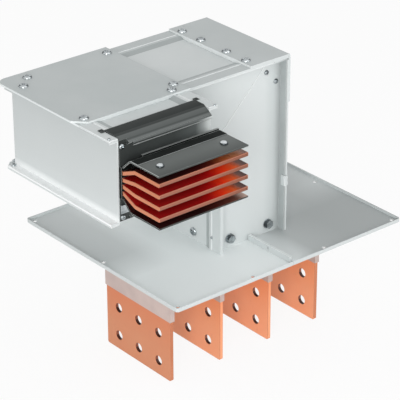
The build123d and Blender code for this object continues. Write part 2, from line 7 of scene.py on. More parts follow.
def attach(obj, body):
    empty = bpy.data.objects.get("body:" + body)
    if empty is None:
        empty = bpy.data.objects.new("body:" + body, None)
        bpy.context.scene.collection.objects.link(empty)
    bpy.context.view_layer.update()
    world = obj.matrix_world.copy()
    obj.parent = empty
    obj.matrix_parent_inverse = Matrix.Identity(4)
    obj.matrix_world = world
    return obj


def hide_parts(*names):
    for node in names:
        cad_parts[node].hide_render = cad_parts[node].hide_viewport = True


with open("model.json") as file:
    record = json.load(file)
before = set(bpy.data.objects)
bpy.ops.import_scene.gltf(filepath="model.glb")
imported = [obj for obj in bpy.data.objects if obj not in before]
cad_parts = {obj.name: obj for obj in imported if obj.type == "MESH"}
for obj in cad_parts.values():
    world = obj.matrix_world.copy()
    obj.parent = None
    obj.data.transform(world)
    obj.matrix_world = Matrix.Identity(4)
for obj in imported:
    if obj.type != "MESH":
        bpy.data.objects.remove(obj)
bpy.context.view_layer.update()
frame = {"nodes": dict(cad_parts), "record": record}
nodes = frame["nodes"]
print("frame loaded:", len(nodes), "nodes")

# camera, lamps and floor
studio = {
    "cameraPlace": (-1.84020, -2.19234, 1.47410),
    "cameraTurn": (63.355, 0.103, -39.643),      # degrees
    "lens": 183.47,
    "floorLevel": -0.1985,
    "sensor": 36,
    "clip": (0.05, 60),
    "world": 0.62,
    "floorSize": 24,
    "floorTone": (0.93, 0.93, 0.93, 1),
    "floorRough": 0.9,
    "floorGlow": 0.90,
    "white": (1, 1, 1, 1),
    "lamps": [
        # name, place, aims at, size, watts
        ("keyLamp", (0.9, -2.7, 0.6), (0.0, 0.0, 0.1), 1.5, 8),
        ("leftLamp", (-2.15, -2.05, 0.95), (0.0, 0.0, 0.0), 1.5, 46),
        ("topLamp", (0.6, -1.7, 2.3), (0.0, -0.1, 0.0), 1.4, 7),
    ],
}

cameraData = bpy.data.cameras.new("camera")
cameraData.lens = studio["lens"]
cameraData.sensor_width = studio["sensor"]
cameraData.clip_start, cameraData.clip_end = studio["clip"]
camera = bpy.data.objects.new("camera", cameraData)
camera.location = studio["cameraPlace"]
camera.rotation_euler = [math.radians(a) for a in studio["cameraTurn"]]
bpy.context.scene.collection.objects.link(camera)
bpy.context.scene.camera = camera

for name, place, target, size, watts in studio["lamps"]:
    lampData = bpy.data.lights.new(name, "AREA")
    lampData.shape = "DISK"
    lampData.size = size
    lampData.energy = watts
    lamp = bpy.data.objects.new(name, lampData)
    lamp.location = place
    lamp.rotation_euler = (Vector(target) - Vector(place)).to_track_quat("-Z", "Y").to_euler()
    bpy.context.scene.collection.objects.link(lamp)

bpy.context.scene.view_settings.view_transform = "Standard"
print("studio ready")


# shader maths
class Wire:
    # one socket of a material, with the arithmetic that adds Math nodes
    def __init__(self, recipe, socket):
        self.recipe = recipe
        self.socket = socket

    def combine(self, operation, first, second):
        return self.recipe.node("ShaderNodeMath", {"operation": operation}, {0: first, 1: second})

    def __add__(self, other):
        return self.combine("ADD", self, other)

    def __radd__(self, other):
        return self.combine("ADD", other, self)

    def __mul__(self, other):
        return self.combine("MULTIPLY", self, other)

    def __rmul__(self, other):
        return self.combine("MULTIPLY", other, self)

    def clamp(self):
        return self.recipe.node("ShaderNodeClamp", {}, {"Value": self})

    def part(self, name):
        # one component of a vector
        return self.recipe.node("ShaderNodeSeparateXYZ", {}, {"Vector": self}, "XYZ".index(name))


class Recipe:
    # a material being built on one Principled shader
    def __init__(self, name, **fixed):
        self.material = bpy.data.materials.new(name)
        self.material.use_nodes = True
        self.tree = self.material.node_tree
        self.shader = next(n for n in self.tree.nodes if n.type == "BSDF_PRINCIPLED")
        for key, value in fixed.items():
            self.shader.inputs[key.replace("_", " ")].default_value = value

    def feed(self, socket, value):
        if isinstance(value, Wire):
            self.tree.links.new(value.socket, socket)
        else:
            socket.default_value = value

    def node(self, kind, settings=None, inputs=None, output=0):
        made = self.tree.nodes.new(kind)
        for key, value in (settings or {}).items():
            if key == "stops":
                ramp = made.color_ramp
                for index, (position, colour) in enumerate(value):
                    if index < 2:
                        stop = ramp.elements[index]
                        stop.position = position
                    else:
                        stop = ramp.elements.new(position)
                    stop.color = (*colour, 1)
            else:
                setattr(made, key, value)
        for key, value in (inputs or {}).items():
            self.feed(made.inputs[key], value)
        return Wire(self, made.outputs[output])

    def coords(self, scale=(1, 1, 1)):
        # the fourth output of Texture Coordinate is Object
        place = self.node("ShaderNodeTexCoord", output=3)
        return self.node("ShaderNodeMapping", {}, {"Vector": place, "Scale": scale})

    def noise(self, scale, detail=3.0, rough=0.5, where=None):
        where = where or self.coords()
        return self.node("ShaderNodeTexNoise", {}, {
            "Vector": where, "Scale": scale, "Detail": detail, "Roughness": rough})

    def spread(self, value, low, high, outLow=0.0, outHigh=1.0):
        return self.node("ShaderNodeMapRange", {}, {
            "Value": value, "From Min": low, "From Max": high, "To Min": outLow, "To Max": outHigh})

    def blend(self, amount, first, second):
        made = self.tree.nodes.new("ShaderNodeMix")
        made.data_type = "RGBA"
        self.feed(made.inputs[0], amount)
        self.feed(made.inputs[6], first)
        self.feed(made.inputs[7], second)
        return Wire(self, made.outputs[2])

    def bump(self, height, strength, distance):
        return self.node("ShaderNodeBump", {}, {
            "Height": height, "Strength": strength, "Distance": distance})

    def finish(self, **sockets):
        for key, value in sockets.items():
            self.feed(self.shader.inputs[key.replace("_", " ")], value)
        return self.material


def rgb(red, green, blue):
    # display values 0..255 to linear light
    def line(v):
        v = v / 255
        return v / 12.92 if v <= 0.04045 else ((v + 0.055) / 1.055) ** 2.4
    return (line(red), line(green), line(blue), 1)


def painted(name, colour, shade, roughness, peel, metal=0.0, shine=0.5):
    # sprayed sheet steel: fine orange peel, faint cloudiness and a few rubbed patches
    r = Recipe(name, Metallic=metal, Specular_IOR_Level=shine)
    cloud = r.spread(r.noise(9, 3), 0.35, 0.65)
    rubbed = r.spread(r.noise(42, 5, 0.6), 0.62, 0.72)
    gloss = r.spread(r.noise(26, 4), 0.3, 0.7, roughness - 0.04, roughness + 0.06)
    fine = r.noise(900, 2, 0.45)
    return r.finish(Base_Color=r.blend(rubbed * 0.25, r.blend(cloud, colour, shade), shade),
                    Roughness=gloss, Normal=r.bump(fine, peel, 0.0004))


def paintedLightAlong(name, stops, axis, low, high, roughness, metal=0.0, shine=0.5):
    # paint whose tone drifts along one axis of the object: painted sheen, reflection and shade
    r = Recipe(name, Metallic=metal, Specular_IOR_Level=shine)
    stops = [(place, rgb(*tone)[:3]) for place, tone in stops]
    along = r.spread(r.coords().part(axis), low, high)
    tone = r.node("ShaderNodeValToRGB", {"stops": stops}, {"Fac": along})
    cloud = r.noise(7, 2)
    fine = r.noise(900, 2, 0.45)
    return r.finish(Base_Color=r.blend(cloud * 0.06, tone, rgb(150, 156, 156)),
                    Roughness=r.spread(cloud, 0.1, 0.9, roughness - 0.03, roughness + 0.04),
                    Normal=r.bump(fine, 0.03, 0.0002))


def enamel(name, frontPaintedLight, backPaintedLight):
    # satin grey sheet with one run of tones along X in front and another at the back; the tones are painted
    # reflection and shade, light on the left and in the middle, darker to the right
    r = Recipe(name, Specular_IOR_Level=0.4)
    place = r.coords()
    along = r.spread(place.part("X"), -0.23, 0.23)
    runs = [r.node("ShaderNodeValToRGB", {"stops": [(at, rgb(v, v + 5, v + 5)[:3]) for at, v in tones]},
                   {"Fac": along}) for tones in (frontPaintedLight, backPaintedLight)]
    tone = r.blend(r.spread(place.part("Y"), -0.07, 0.0), *runs)
    cloud = r.noise(7, 2)
    return r.finish(Base_Color=r.blend(cloud * 0.04, tone, rgb(150, 156, 156)),
                    Roughness=r.spread(cloud, 0.1, 0.9, 0.42, 0.50),
                    Normal=r.bump(r.noise(900, 2, 0.45), 0.03, 0.0002))


def plated(name, colour, dark, roughness):
    r = Recipe(name, Metallic=1.0)
    bloom = r.spread(r.noise(160, 4), 0.35, 0.7)
    fine = r.noise(1400, 2)
    return r.finish(Base_Color=r.blend(bloom, colour, dark),
                    Roughness=r.spread(bloom, 0, 1, roughness, roughness + 0.15),
                    Normal=r.bump(fine, 0.15, 0.0002))


def copperMetal(name, colour, shade, metal, roughness, paintedShadeAlong=None):
    # drawn copper: long rolling lines along the bar and warm tarnish in patches; with the optional axis run,
    # the tone turns to the shade colour along that axis, a painted shade
    r = Recipe(name, Metallic=metal)
    patch = r.spread(r.noise(14, 4), 0.35, 0.65)
    if paintedShadeAlong:
        axis, low, high, weight = paintedShadeAlong
        patch = (r.spread(r.coords().part(axis), low, high) * weight + patch * (1 - weight)).clamp()
    lines = r.noise(60, 3, 0.6, r.coords((1, 14, 14)))
    tarnish = r.spread(r.noise(48, 5, 0.6), 0.62, 0.78)
    return r.finish(Base_Color=r.blend(tarnish * 0.25, r.blend(patch, colour, shade), rgb(190, 112, 84)),
                    Roughness=r.spread(lines, 0.3, 0.7, roughness, roughness + 0.08),
                    Normal=r.bump(lines, 0.06, 0.0003))


def moulded(name, colour, shade, roughness, grain, metal=0.0, shine=0.5):
    r = Recipe(name, Metallic=metal, Specular_IOR_Level=shine)
    cloud = r.spread(r.noise(30, 3), 0.35, 0.65)
    fine = r.noise(1100, 2)
    return r.finish(Base_Color=r.blend(cloud, colour, shade),
                    Roughness=r.spread(r.noise(70, 3), 0.3, 0.7, roughness - 0.05, roughness + 0.08),
                    Normal=r.bump(fine, grain, 0.0003))


finishes = {
    "housing_paint": painted("housingPaint", rgb(208, 213, 213), rgb(202, 208, 208), 0.42, 0.10),
    "cap_paint": painted("capPaint", rgb(188, 194, 194), rgb(182, 189, 189), 0.40, 0.10),
    # the flange's runs of tone are painted reflection and shade
    "flange_paint": enamel("flangePaintedSheen",
                           [(0.0, 238), (0.34, 240), (0.50, 234), (0.62, 172), (0.78, 163), (1.0, 166)],
                           [(0.0, 190), (0.15, 206), (0.24, 236), (0.52, 238), (0.68, 214), (0.84, 184),
                            (1.0, 202)]),
    "rail_paint": painted("railPaint", rgb(62, 66, 65), rgb(55, 59, 58), 0.42, 0.12, 0.0, 0.15),
    "guard": moulded("guardSheet", rgb(82, 87, 85), rgb(74, 79, 77), 0.30, 0.06, 0.85, 0.3),
    "insulator": moulded("insulatorBlock", rgb(30, 33, 32), rgb(24, 27, 26), 0.5, 0.12, 0.0, 0.03),
    "copper": copperMetal("copperBar", rgb(218, 144, 110), rgb(210, 134, 100), 1.0, 0.16),
    "sleeve": moulded("heatShrink", rgb(200, 180, 173), rgb(188, 169, 163), 0.38, 0.08),
    "zinc": plated("zincPlate", rgb(186, 192, 194), rgb(140, 147, 150), 0.20),
}
# lighter or darker variants on some faces of a piece; they paint highlights, reflections and shade into the
# colour
variants = {
    # flag copper darkens towards the top, a painted shade under the flange; the inner flags' copy is lighter,
    # painted light where flag 1 shades them
    "flagCopper": copperMetal("flagCopper", rgb(211, 137, 97), rgb(212, 116, 70), 0.1, 0.36,
                              ("Z", -0.15, -0.06, 0.8)),
    "innerFlagCopper": copperMetal("innerFlagCopper", rgb(250, 171, 126), rgb(250, 148, 94), 0.1, 0.36,
                                   ("Z", -0.15, -0.06, 0.8)),
    # faces between the bars: deep red painted shade, turning to an orange painted reflection to the right and
    # dark again at the end
    "innerCopper": paintedLightAlong("innerCopper", [
        (0.0, (172, 2, 0)), (0.50, (184, 2, 0)), (0.62, (204, 8, 4)), (0.76, (255, 74, 6)),
        (0.88, (255, 118, 40)), (0.95, (112, 58, 38)), (1.0, (66, 34, 24))],
        "X", -0.31, -0.152, 0.24, 0.3, 0.1),
    # front edges of the bars: lighter above, a painted highlight, darker below, a painted shade
    "barHigh": copperMetal("barHigh", rgb(176, 112, 88), rgb(168, 104, 80), 0.4, 0.3),
    "barLow": copperMetal("barLow", rgb(116, 66, 50), rgb(108, 60, 44), 0.4, 0.3),
    # front edges of the upper guard, darker: painted shade
    "guardFront": painted("guardFront", rgb(96, 100, 99), rgb(88, 92, 91), 0.4, 0.05, 0.0, 0.2),
    # inner face of the riser wall's flange, darker: painted shade in the corner
    "flangeInner": painted("flangeInner", rgb(176, 182, 182), rgb(170, 176, 176), 0.42, 0.05),
    # front faces of the bars, darker and darker still to the right: painted shade
    "frontCopper": paintedLightAlong("frontCopper", [
        (0.0, (160, 100, 80)), (0.50, (156, 96, 76)), (1.0, (140, 86, 64))], "X", -0.31, -0.148, 0.26, 0.6),
    # eased edges of copper: a duller, less metallic painted edge tone
    "copper edge": copperMetal("copperEdge", rgb(200, 128, 96), rgb(192, 120, 88), 0.3, 0.30),
    # walls of the flags' holes, darker: painted shade, darkest on the lower wall
    "holeShade": copperMetal("holeShade", rgb(74, 36, 24), rgb(60, 28, 18), 0.1, 0.5),
    "holeSide": copperMetal("holeSide", rgb(146, 82, 58), rgb(138, 76, 52), 0.1, 0.4),
    # eased edges of paint and plastic, lighter: painted highlights
    "housing_paint edge": painted("housingEdgeHighlight", rgb(226, 230, 230), rgb(220, 224, 224), 0.35, 0.05),
    "cap_paint edge": painted("capEdgeHighlight", rgb(220, 225, 225), rgb(214, 219, 219), 0.35, 0.05),
    "flange_paint edge": painted("flangeEdgeHighlight", rgb(214, 219, 219), rgb(208, 213, 213), 0.30, 0.05),
    "rail_paint edge": painted("railEdgeHighlight", rgb(150, 154, 153), rgb(136, 140, 139), 0.32, 0.05, 0.3),
    "guard edge": painted("guardEdgeHighlight", rgb(184, 188, 186), rgb(166, 171, 169), 0.30, 0.05, 0.4),
    "insulator edge": painted("insulatorEdgeHighlight", rgb(150, 154, 153), rgb(136, 140, 139), 0.35, 0.05, 0.0, 0.3),
    # top faces, darker than the fronts: painted shade
    "topBand": painted("topBand", rgb(190, 196, 196), rgb(184, 190, 190), 0.42, 0.08),
    # end rails: darker top faces, painted shade; bands of painted highlight and shade on the lip, a painted
    # highlight on the bead, a painted reflection on the web, light at its right end
    "railTop": painted("railTop", rgb(48, 52, 51), rgb(43, 47, 46), 0.45, 0.08, 0.0, 0.1),
    "railLip": paintedLightAlong("railLip", [
        (0.0, (50, 54, 53)), (0.20, (50, 54, 53)), (0.25, (92, 96, 95)), (0.60, (84, 88, 87)),
        (0.70, (66, 70, 69)), (0.76, (76, 80, 79)), (0.88, (108, 112, 111)), (1.0, (92, 96, 95))],
        "Z", 0.2975, 0.2875, 0.36, 0.0, 0.15),
    "railBead": paintedLightAlong("railBead", [
        (0.0, (112, 116, 115)), (0.20, (126, 130, 129)), (0.38, (164, 168, 167)), (0.70, (184, 188, 187)),
        (1.0, (166, 170, 169))], "Z", 0.2884, 0.2796, 0.36, 0.0, 0.15),
    "railWeb": paintedLightAlong("railWeb", [
        (0.0, (50, 53, 52)), (0.60, (60, 64, 63)), (0.84, (88, 93, 92)), (0.92, (150, 155, 154)),
        (1.0, (200, 205, 204))], "X", -0.31, -0.148, 0.40, 0.0, 0.15),
    # left wall of the joint and its up-facing faces, lightest at the bottom: painted highlight
    "wallGlow": paintedLightAlong("wallGlow", [
        (0.0, (246, 248, 248)), (0.06, (238, 241, 241)), (0.12, (203, 208, 208)), (0.30, (197, 202, 202)),
        (1.0, (186, 191, 191))], "Z", 0.164, 0.294, 0.40),
    # darker and lighter copies of zinc: painted shade and reflection on one side of the heads, a painted
    # highlight on the rest
    "zincShade": plated("zincShade", rgb(94, 100, 103), rgb(70, 75, 78), 0.25),
    "zincLight": plated("zincLight", rgb(212, 217, 219), rgb(176, 182, 184), 0.18),
    # top face of the upper bar under the guard: deep red painted shade, an orange painted reflection to the
    # right
    "firstCopper": paintedLightAlong("firstCopper", [
        (0.0, (100, 14, 8)), (0.12, (56, 4, 2)), (0.50, (100, 14, 10)), (0.62, (150, 45, 20)),
        (0.75, (250, 121, 56)), (0.88, (250, 153, 94)), (0.97, (120, 66, 40)), (1.0, (96, 52, 32))],
        "X", -0.31, -0.152, 0.26, 0.5),
    # upper face and front edges of the lower guard: dark red painted shade and reflection of the copper,
    # lighter to the right
    "innerGuard": paintedLightAlong("innerGuard", [
        (0.0, (54, 9, 5)), (0.50, (50, 10, 7)), (0.62, (82, 26, 15)), (0.75, (96, 42, 30)),
        (0.88, (126, 70, 48)), (1.0, (192, 164, 150))], "X", -0.31, -0.148, 0.28, 0.5),
    # top face of the upper guard, darker towards its front edge: painted sheen
    "guardTop": paintedLightAlong("guardTop", [(0.0, (102, 106, 104)), (0.6, (88, 93, 91)), (1.0, (62, 67, 65))],
                       "Y", -0.191, -0.252, 0.30, 0.85, 0.3),
    "wallShade": paintedLightAlong("wallShade", [
        (0.0, (208, 213, 213)), (0.45, (196, 202, 202)), (0.85, (166, 171, 171)), (1.0, (172, 177, 177))],
        "X", 0.03, 0.068, 0.42),
    "flangeRim": painted("flangeRim", rgb(206, 211, 211), rgb(198, 204, 204), 0.35, 0.05),
    # near-white bead over the mitre: painted highlight
    "whiteBead": painted("whiteBead", rgb(240, 243, 243), rgb(236, 240, 240), 0.35, 0.05),
    # sloping rims of sunk panels, darker: painted shade
    "slope": painted("slope", rgb(168, 175, 175), rgb(162, 169, 169), 0.42, 0.05),
}

slotOf = {row["node"]: row["material_slot"] for row in frame["record"]["subparts"]}


def dress(obj, finish):
    obj.data.materials.clear()
    obj.data.materials.append(finishes[finish])


def repaint(piece, variant, test, old=0):
    # faces whose middle and normal pass the test take a variant of the piece's finish;
    # old is the material they have now: 0 the finish itself, 1 its eased edges
    piece.data.materials.append(variants[variant])
    index = len(piece.data.materials) - 1
    for face in piece.data.polygons:
        if face.material_index == old and test(face.center, face.normal):
            face.material_index = index


# eased edges of sheets, bars and blocks, in metres and degrees
edges = {
    "weld": 0.00001, "flat": 0.5, "corner": 32, "smooth": 40,
    "sheet": {"width": 0.0008, "segments": 2},
    "bar": {"width": 0.0010, "segments": 3},
    "block": {"width": 0.0008, "segments": 2},
}


def clearSelection():
    if bpy.context.mode != "OBJECT":
        bpy.ops.object.mode_set(mode="OBJECT")
    bpy.ops.object.select_all(action="DESELECT")


def pick(pieces):
    # only these are selected, and the first one is active
    clearSelection()
    for piece in pieces:
        piece.select_set(True)
    bpy.context.view_layer.objects.active = pieces[0]


def roundedCopy(node, kind):
    # same sheet or bar with its cut edges eased, so that they catch the light; where the finish has an edge
    # variant the eased faces take it, a lighter tone that paints a highlight (on copper a duller one)
    source = nodes[node]
    piece = source.copy()
    piece.data = source.data.copy()
    piece.name = node + "_eased"
    bpy.context.scene.collection.objects.link(piece)
    pick([piece])
    bpy.ops.object.mode_set(mode="EDIT")
    bpy.ops.mesh.select_all(action="SELECT")
    bpy.ops.mesh.remove_doubles(threshold=edges["weld"])
    bpy.ops.mesh.dissolve_limited(angle_limit=math.radians(edges["flat"]))
    bpy.ops.object.mode_set(mode="OBJECT")
    bevel = piece.modifiers.new("eased", "BEVEL")
    bevel.width = edges[kind]["width"]
    bevel.segments = edges[kind]["segments"]
    bevel.limit_method = "ANGLE"
    bevel.angle_limit = math.radians(edges["corner"])
    bevel.use_clamp_overlap = True
    bevel.harden_normals = False
    lighter = slotOf[node] + " edge"
    if lighter in variants:
        dress(piece, slotOf[node])
        piece.data.materials.append(variants[lighter])
        bevel.material = 1
    bpy.ops.object.modifier_apply(modifier="eased")
    bpy.ops.object.shade_smooth_by_angle(angle=math.radians(edges["smooth"]))
    flatter = piece.modifiers.new("flatter", "WEIGHTED_NORMAL")
    flatter.keep_sharp = True
    flatter.weight = 100
    bpy.ops.object.modifier_apply(modifier="flatter")
    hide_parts(node)
    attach(piece, "root")
    if lighter not in variants:
        dress(piece, slotOf[node])
    return piece


for node, obj in nodes.items():
    dress(obj, slotOf[node])

barKinds = ("joint_bar_", "flag_")
sheetKinds = ("flange_half", "riser_sheet", "arm_sheet", "joint_sheet", "elbow_plate", "elbow_cap",
              "corner_cap", "riser_wall", "arm_wall", "joint_wall", "guard_plate", "end_rail")
blockKinds = ("bar_holder", "guard_strips", "mouth_brackets", "lip_clips")
eased = {}
for node in list(nodes):
    if node.startswith(barKinds):
        eased[node] = roundedCopy(node, "bar")
    elif node.startswith(sheetKinds):
        eased[node] = roundedCopy(node, "sheet")
    elif node in blockKinds:
        eased[node] = roundedCopy(node, "block")
print("edges eased")

mm = 0.001
elbowX = -229                                    # middle of the joint arm, in millimetres

# places, in metres, of the faces that the photograph shows in a tone of their own
# these faces take painted shade, highlights and reflections
zones = {
    "holesAcross": 0.078, "holesLow": -0.196, "holesHigh": -0.085,
    "flagTop": -0.03,
    "beadLow": 0.279, "beadHigh": 0.2886,
    "wallRim": 0.05, "wallFace": 0.07,
    "panel": 0.072, "panelRim": (0.074, 0.078),
    "bandFrom": 0.0605,
}


def inHoles(middle):
    return abs(middle.y) < zones["holesAcross"] and zones["holesLow"] < middle.z < zones["holesHigh"]


# flag 1 takes the copper with painted shade at the top; flags 2 to 4 take its lighter copy, painted light
# where flag 1 shades them
for node in ("flag_1", "flag_2", "flag_3", "flag_4"):
    tone = "flagCopper" if node == "flag_1" else "innerFlagCopper"
    # the holes' walls take painted shade
    repaint(eased[node], "holeShade", lambda middle, normal: normal.z > 0.25 and inHoles(middle))
    repaint(eased[node], "holeSide", lambda middle, normal: abs(normal.x) < 0.3 and inHoles(middle))
    repaint(eased[node], tone, lambda middle, normal: middle.z < zones["flagTop"])
    repaint(eased[node], tone, lambda middle, normal: inHoles(middle), 1)
for node in ("end_rail_top", "end_rail_bottom"):
    # the rails' faces take painted shade, highlights and reflection
    repaint(eased[node], "railTop", lambda middle, normal: abs(normal.z) > 0.9)
    repaint(eased[node], "railWeb", lambda middle, normal: normal.y < -0.95)
    repaint(eased[node], "railLip", lambda middle, normal: normal.y < -0.3 and normal.z > 0.3)
    repaint(eased[node], "railBead", lambda middle, normal: zones["beadLow"] < middle.z < zones["beadHigh"]
            and normal.y < -0.2 and normal.z > -0.85)
# the left wall takes a painted highlight, lightest at the bottom
repaint(eased["joint_wall_left"], "wallGlow", lambda middle, normal: normal.x < -0.9 or normal.z > 0.9)
# the upper bar's top takes painted shade and reflection
repaint(eased["joint_bar_1"], "firstCopper", lambda middle, normal: normal.z > 0.7)
# the lower guard's inner face takes painted shade and reflection
repaint(eased["guard_plate_bottom"], "innerGuard", lambda middle, normal: normal.z > 0.4)
repaint(eased["guard_plate_bottom"], "innerGuard", lambda middle, normal: normal.y < -0.3, 1)
# the upper guard's top takes a painted sheen
repaint(eased["guard_plate_top"], "guardTop", lambda middle, normal: normal.z > 0.9)
# the upper guard's front edges take painted shade
repaint(eased["guard_plate_top"], "guardFront", lambda middle, normal: normal.y < -0.3, 1)
# the flange's inner face takes painted shade
repaint(eased["riser_wall_front"], "flangeInner",
        lambda middle, normal: normal.x < -0.9 and middle.x > zones["wallRim"])
repaint(eased["riser_wall_front"], "wallShade",
        lambda middle, normal: normal.y < -0.9 and middle.x < zones["wallFace"])
for node in ("flange_half_left", "flange_half_right"):
    repaint(eased[node], "flangeRim", lambda middle, normal: abs(normal.z) < 0.5)
for node in ("joint_bar_1", "joint_bar_2", "joint_bar_3", "joint_bar_4"):
    # faces between the bars take painted shade and reflection
    repaint(eased[node], "innerCopper", lambda middle, normal: abs(normal.z) > 0.7)
    # the bars' front faces take painted shade
    repaint(eased[node], "frontCopper", lambda middle, normal: normal.y < -0.7)
    # upper front edges take a painted highlight, lower ones a painted shade
    repaint(eased[node], "barHigh", lambda middle, normal: normal.y < -0.2 and normal.z > 0.1, 1)
    repaint(eased[node], "barLow", lambda middle, normal: normal.y < -0.2 and normal.z < -0.1, 1)
# cut sides of the caps and the corner cap's left faces take the lighter edge tone, a painted highlight
for node in ("elbow_cap", "elbow_plate_top"):
    repaint(eased[node], "cap_paint edge", lambda middle, normal: abs(normal.z) < 0.5)
repaint(eased["corner_cap"], "housing_paint edge", lambda middle, normal: normal.x < -0.9)
# sloping rims of the sheets' sunk panels, either side of each sheet's middle line, darker: painted shade; the
# groove lines beyond them take the lighter edge tone, a painted highlight
for node in ("arm_sheet_top", "joint_sheet_top", "riser_sheet_inner", "riser_sheet_outer", "arm_sheet_bottom",
             "joint_sheet_bottom"):
    across, middleLine = (0, elbowX * mm) if node.startswith("joint") else (1, 0)
    repaint(eased[node], "slope", lambda middle, normal: max(abs(v) for v in normal) < 0.985
            and abs(middle[across] - middleLine) < zones["panel"])
    rimFrom, rimTo = zones["panelRim"]
    repaint(eased[node], "housing_paint edge",
            lambda middle, normal: rimFrom < abs(middle[across] - middleLine) < rimTo)
# top faces take painted shade
repaint(eased["arm_sheet_top"], "topBand",
        lambda middle, normal: normal.z > 0.9 and abs(middle.y) > zones["bandFrom"])
for node in ("corner_cap", "elbow_plate_top"):
    repaint(eased[node], "topBand", lambda middle, normal: normal.z > 0.9)
print("tones set")

# screws, bolts and rivets: their seats and the shapes of their heads, in millimetres
seats = {
    "capTop": 299, "armTop": 296, "armMiddle": 229,
    "cornerRows": (-75, -30, 30, 75), "cornerFace": 70,
    "capPlaces": [(-58, 81), (-81, 58), (-81, -88), (88, 81), (90, -75), (75, -90)],
    "tabOut": 64, "tabHeight": 15.5, "tabRows": (-29, 29),
    "wallOut": 84, "wallPlaces": ((33, 273.5), (52, 254.5)),
    "edgeOut": 67, "edgeHeight": 24, "edgeRows": (-76, 76),
    "seamPlace": (2.3, 133, 7.5),
    "mouthLip": [(-322, -161, 296), (-136, -165, 296)],
    "lowerLip": [(-319.5, 79, 167.5), (-308, 90.5, 167.5)],
    "mouthPlace": (-306.3, -168.5), "mouthRise": 54.5,
    "rivetY": -228, "rivetRise": 40.9, "rivetRows": (-57, 57),
    "baseRows": (-38.5, 38.5), "baseHeight": 17.5,
}
heads = {
    "panHead": {"radius": 7.0, "rise": 3.6, "recess": 7.4, "slot": 1.5, "depth": 2.0},
    "smallHead": {"radius": 4.0, "rise": 2.5, "recess": 4.4, "slot": 0.95, "depth": 1.3},
    "tinyHead": {"radius": 2.4, "rise": 1.5, "recess": 2.6, "slot": 0.6, "depth": 0.8},
    "rivetHead": {"radius": 6.0, "rise": 2.7, "recess": 0, "slot": 0, "depth": 0},
    "hexHead": {"acrossFlats": 13.0, "rise": 5.3, "crown": 0.9, "crownRise": 0.55, "dish": 1.6,
                "dishDrop": 0.35, "ease": 0.25, "smooth": 25},
    "washer": {"radius": 8.0, "hole": 4.1, "thick": 1.6, "ease": 0.3, "smooth": 30},
    "sides": 40,
    "smooth": 35,                                # degrees, as for the hexagon and the washer
    "rim": 0.3,                                  # share of a dome's rise that is straight
    "dome": ((0.97, 0.45), (0.90, 0.66), (0.77, 0.84), (0.58, 0.95), (0.36, 1.0)),   # width, height
}


def selectFaces(test):
    # edit mode, face select: keep the faces whose middle and normal pass the test
    bpy.ops.mesh.select_mode(type="FACE")
    bpy.ops.mesh.select_all(action="DESELECT")
    bpy.ops.object.mode_set(mode="OBJECT")
    mesh = bpy.context.object.data
    for face in mesh.polygons:
        face.select = bool(test(face.center, face.normal))
    bpy.ops.object.mode_set(mode="EDIT")


stripEdge = {"ease": 0.4, "smooth": 30}


def foldedStrip(name, low, high, slot, inward=(0, 0, -1), taper=0.0):
    # strip between two corners, in millimetres; its inward side may be shorter at both ends
    clearSelection()
    size = [(b - a) * mm for a, b in zip(low, high)]
    middlePlace = [(a + b) / 2 * mm for a, b in zip(low, high)]
    bpy.ops.mesh.primitive_cube_add(size=1, location=middlePlace, scale=size)
    piece = bpy.context.object
    piece.name = name
    bpy.ops.object.transform_apply(location=True, rotation=True, scale=True)
    if taper:
        long = size.index(max(size))
        share = [1, 1, 1]
        share[long] = 1 - 2 * taper * mm / size[long]
        bpy.ops.object.mode_set(mode="EDIT")
        selectFaces(lambda middle, normal: normal.dot(Vector(inward)) > 0.9)
        bpy.ops.transform.resize(value=share)
        bpy.ops.object.mode_set(mode="OBJECT")
    # a strip takes its finish's lighter edge tone, a painted highlight: all over, or for the insulator on its
    # top face and eased edges
    dress(piece, slot)
    piece.data.materials.append(variants[slot + " edge"])
    for face in piece.data.polygons:
        face.material_index = int(slot != "insulator" or face.normal.z > 0.9)
    ease = piece.modifiers.new("ease", "BEVEL")
    ease.width = stripEdge["ease"] * mm
    ease.segments = 2
    ease.material = 1
    bpy.ops.object.modifier_apply(modifier="ease")
    bpy.ops.object.shade_smooth_by_angle(angle=math.radians(stripEdge["smooth"]))
    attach(piece, "root")
    return piece


def domedHead(name, size):
    # low dome turned from a cylinder, rim first, then a cross recess cut into the crown
    radius, rise = size["radius"] * mm, size["rise"] * mm
    clearSelection()
    bpy.ops.mesh.primitive_cylinder_add(vertices=heads["sides"], radius=radius, depth=rise * heads["rim"],
                                        location=(0, 0, rise * heads["rim"] / 2))
    head = bpy.context.object
    head.name = name
    bpy.ops.object.mode_set(mode="EDIT")
    top = rise * heads["rim"]
    width = 1.0
    selectFaces(lambda middle, normal: normal.z > 0.9)
    for share, height in heads["dome"]:
        bpy.ops.mesh.extrude_region_move(
            TRANSFORM_OT_translate={"value": (0, 0, rise * height - top)})
        bpy.ops.transform.resize(value=(share / width, share / width, 1))
        top = rise * height
        width = share
    bpy.ops.object.mode_set(mode="OBJECT")
    bpy.ops.object.transform_apply(location=True, rotation=True, scale=True)
    if size["recess"]:
        cutters = []
        for turn in (0, math.radians(90)):
            slotSize = (size["recess"] * mm, size["slot"] * mm, 2 * size["depth"] * mm)
            bpy.ops.mesh.primitive_cube_add(size=1, location=(0, 0, rise), rotation=(0, 0, turn),
                                            scale=slotSize)
            cutters.append(bpy.context.object)
        for cutter in cutters:
            pick([head])
            cut = head.modifiers.new("recess", "BOOLEAN")
            cut.object = cutter
            cut.operation = "DIFFERENCE"
            cut.solver = "EXACT"
            bpy.ops.object.modifier_apply(modifier="recess")
            bpy.data.objects.remove(cutter)
    pick([head])
    bpy.ops.object.shade_smooth_by_angle(angle=math.radians(heads["smooth"]))
    return head


